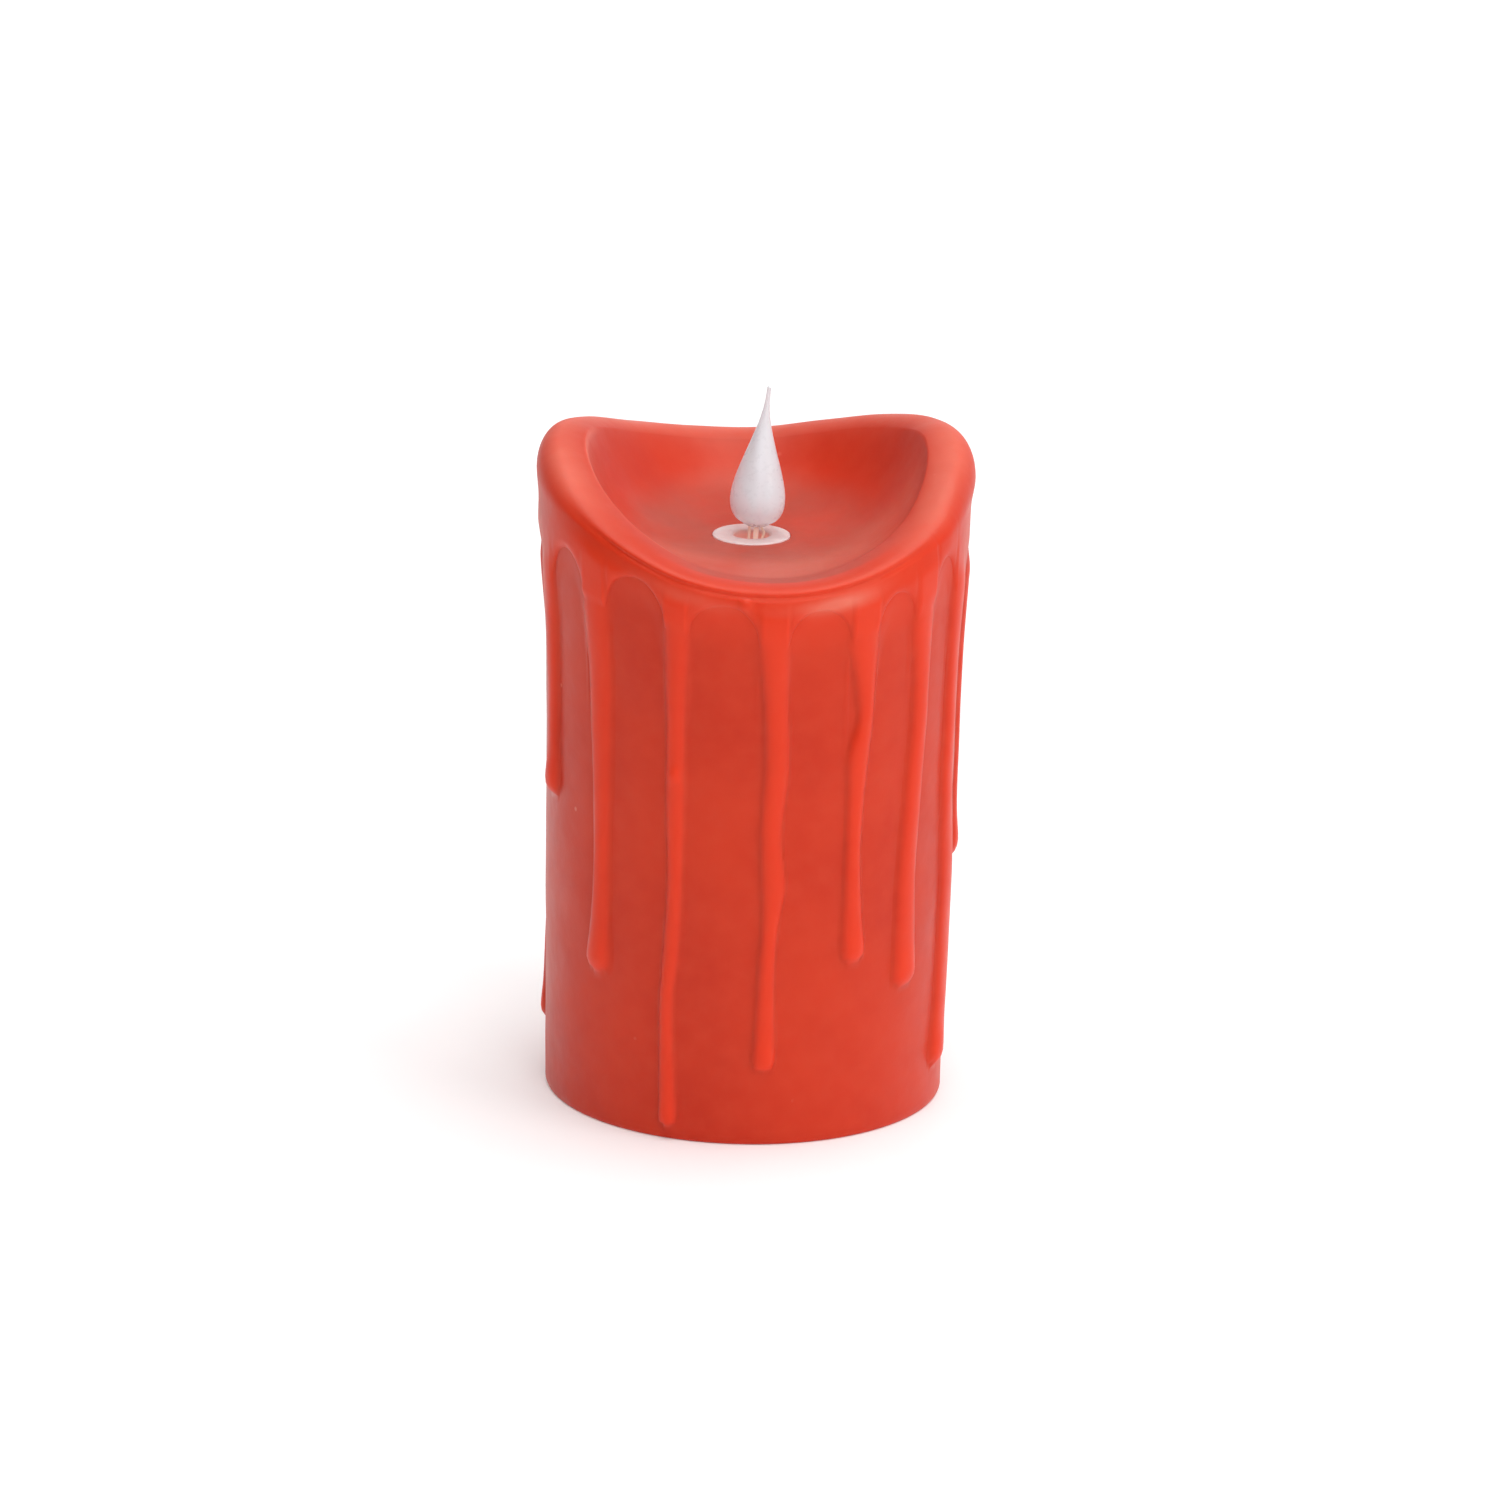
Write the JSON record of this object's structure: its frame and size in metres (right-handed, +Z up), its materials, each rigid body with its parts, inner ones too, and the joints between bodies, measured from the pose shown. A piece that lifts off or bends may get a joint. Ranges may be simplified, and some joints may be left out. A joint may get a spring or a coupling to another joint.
{
  "type": "flameless led candle",
  "caption": "Flameless pillar candle: hollow wax shell with drips and a scooped, wavy top, a swaying teardrop flame over a white collar, and a battery base with a hinged door and slide switch.",
  "frame": {"origin": "centre of the wax shell's bottom, on the surface the candle stands on", "axes": "+Z up along the candle, -Y towards the low side of the rim (the front), +X to the right seen from the front"},
  "size_m": [0.0827, 0.0824, 0.1376],
  "materials": {
    "wax": "satin",
    "white_plastic": "satin",
    "stem_plastic": "satin",
    "base_plastic": "fine grained",
    "flame": "frosted",
    "led_epoxy": "clear gloss",
    "led_leg_metal": "plated",
    "steel": "plated",
    "contact_metal": "nickel plated",
    "battery_jacket": "printed sleeve",
    "black_plastic": "moulded",
    "circuit_board": "solder mask",
    "copper_wire": "enamelled",
    "red_lead": "insulated",
    "black_lead": "insulated"
  },
  "bodies": {
    "candle_body": {"base_housing": "base_plastic", "base_screw_1": "steel", "base_screw_2": "steel", "base_screw_3": "steel", "base_screw_4": "steel", "battery_cell_1": "battery_jacket", "battery_cell_2": "battery_jacket", "battery_spring_1": "contact_metal", "battery_spring_2": "contact_metal", "board_screw_1": "steel", "board_screw_2": "steel", "chip_resistor_1": "black_plastic", "chip_resistor_2": "black_plastic", "chip_resistor_3": "black_plastic", "coil_bobbin": "white_plastic", "coil_winding": "copper_wire", "contact_bridge": "contact_metal", "contact_negative": "contact_metal", "contact_positive": "contact_metal", "control_board": "circuit_board", "controller_chip": "black_plastic", "core_sleeve": "white_plastic", "filter_capacitor": "black_plastic", "flame_collar": "white_plastic", "lead_battery_to_board": "black_lead", "lead_battery_to_switch": "red_lead", "lead_switch_to_board": "red_lead", "mechanism_screw_1": "steel", "mechanism_screw_2": "steel", "mechanism_shell_front": "white_plastic", "mechanism_shell_rear": "white_plastic", "pigtail_anode": "copper_wire", "pigtail_cathode": "copper_wire", "shell_screw_1": "steel", "shell_screw_2": "steel", "switch_board": "circuit_board", "switch_body": "steel", "wax_shell": "wax"},
    "battery_door": {"battery_door": "base_plastic"},
    "switch_knob": {"switch_knob": "black_plastic"},
    "pivot_wire": {"pivot_wire": "steel"},
    "flame": {"flame_carrier": "stem_plastic", "pendulum_magnet": "steel", "flame_shell": "flame", "flame_led": "led_epoxy", "led_leg_anode": "led_leg_metal", "led_leg_cathode": "led_leg_metal"}
  },
  "joints": [
    {"name": "flame_nod", "type": "hinge", "parent": "candle_body", "child": "pivot_wire", "pos_m": [-0.00065, 0, 0.0945], "axis": [1, 0, 0], "range_deg": [-4, 4]},
    {"name": "flame_sway", "type": "hinge", "parent": "pivot_wire", "child": "flame", "pos_m": [-0.00065, 0, 0.0945], "axis": [0, 1, 0], "range_deg": [-8.3, 1.7]},
    {"name": "battery_door_hinge", "type": "hinge", "parent": "candle_body", "child": "battery_door", "pos_m": [0.0285, 0, 0.0008], "axis": [0, -1, 0], "range_deg": [0, 75]},
    {"name": "switch_slide", "type": "slide", "parent": "candle_body", "child": "switch_knob", "axis": [1, 0, 0], "range_m": [-0.002, 0.002]}
  ]
}
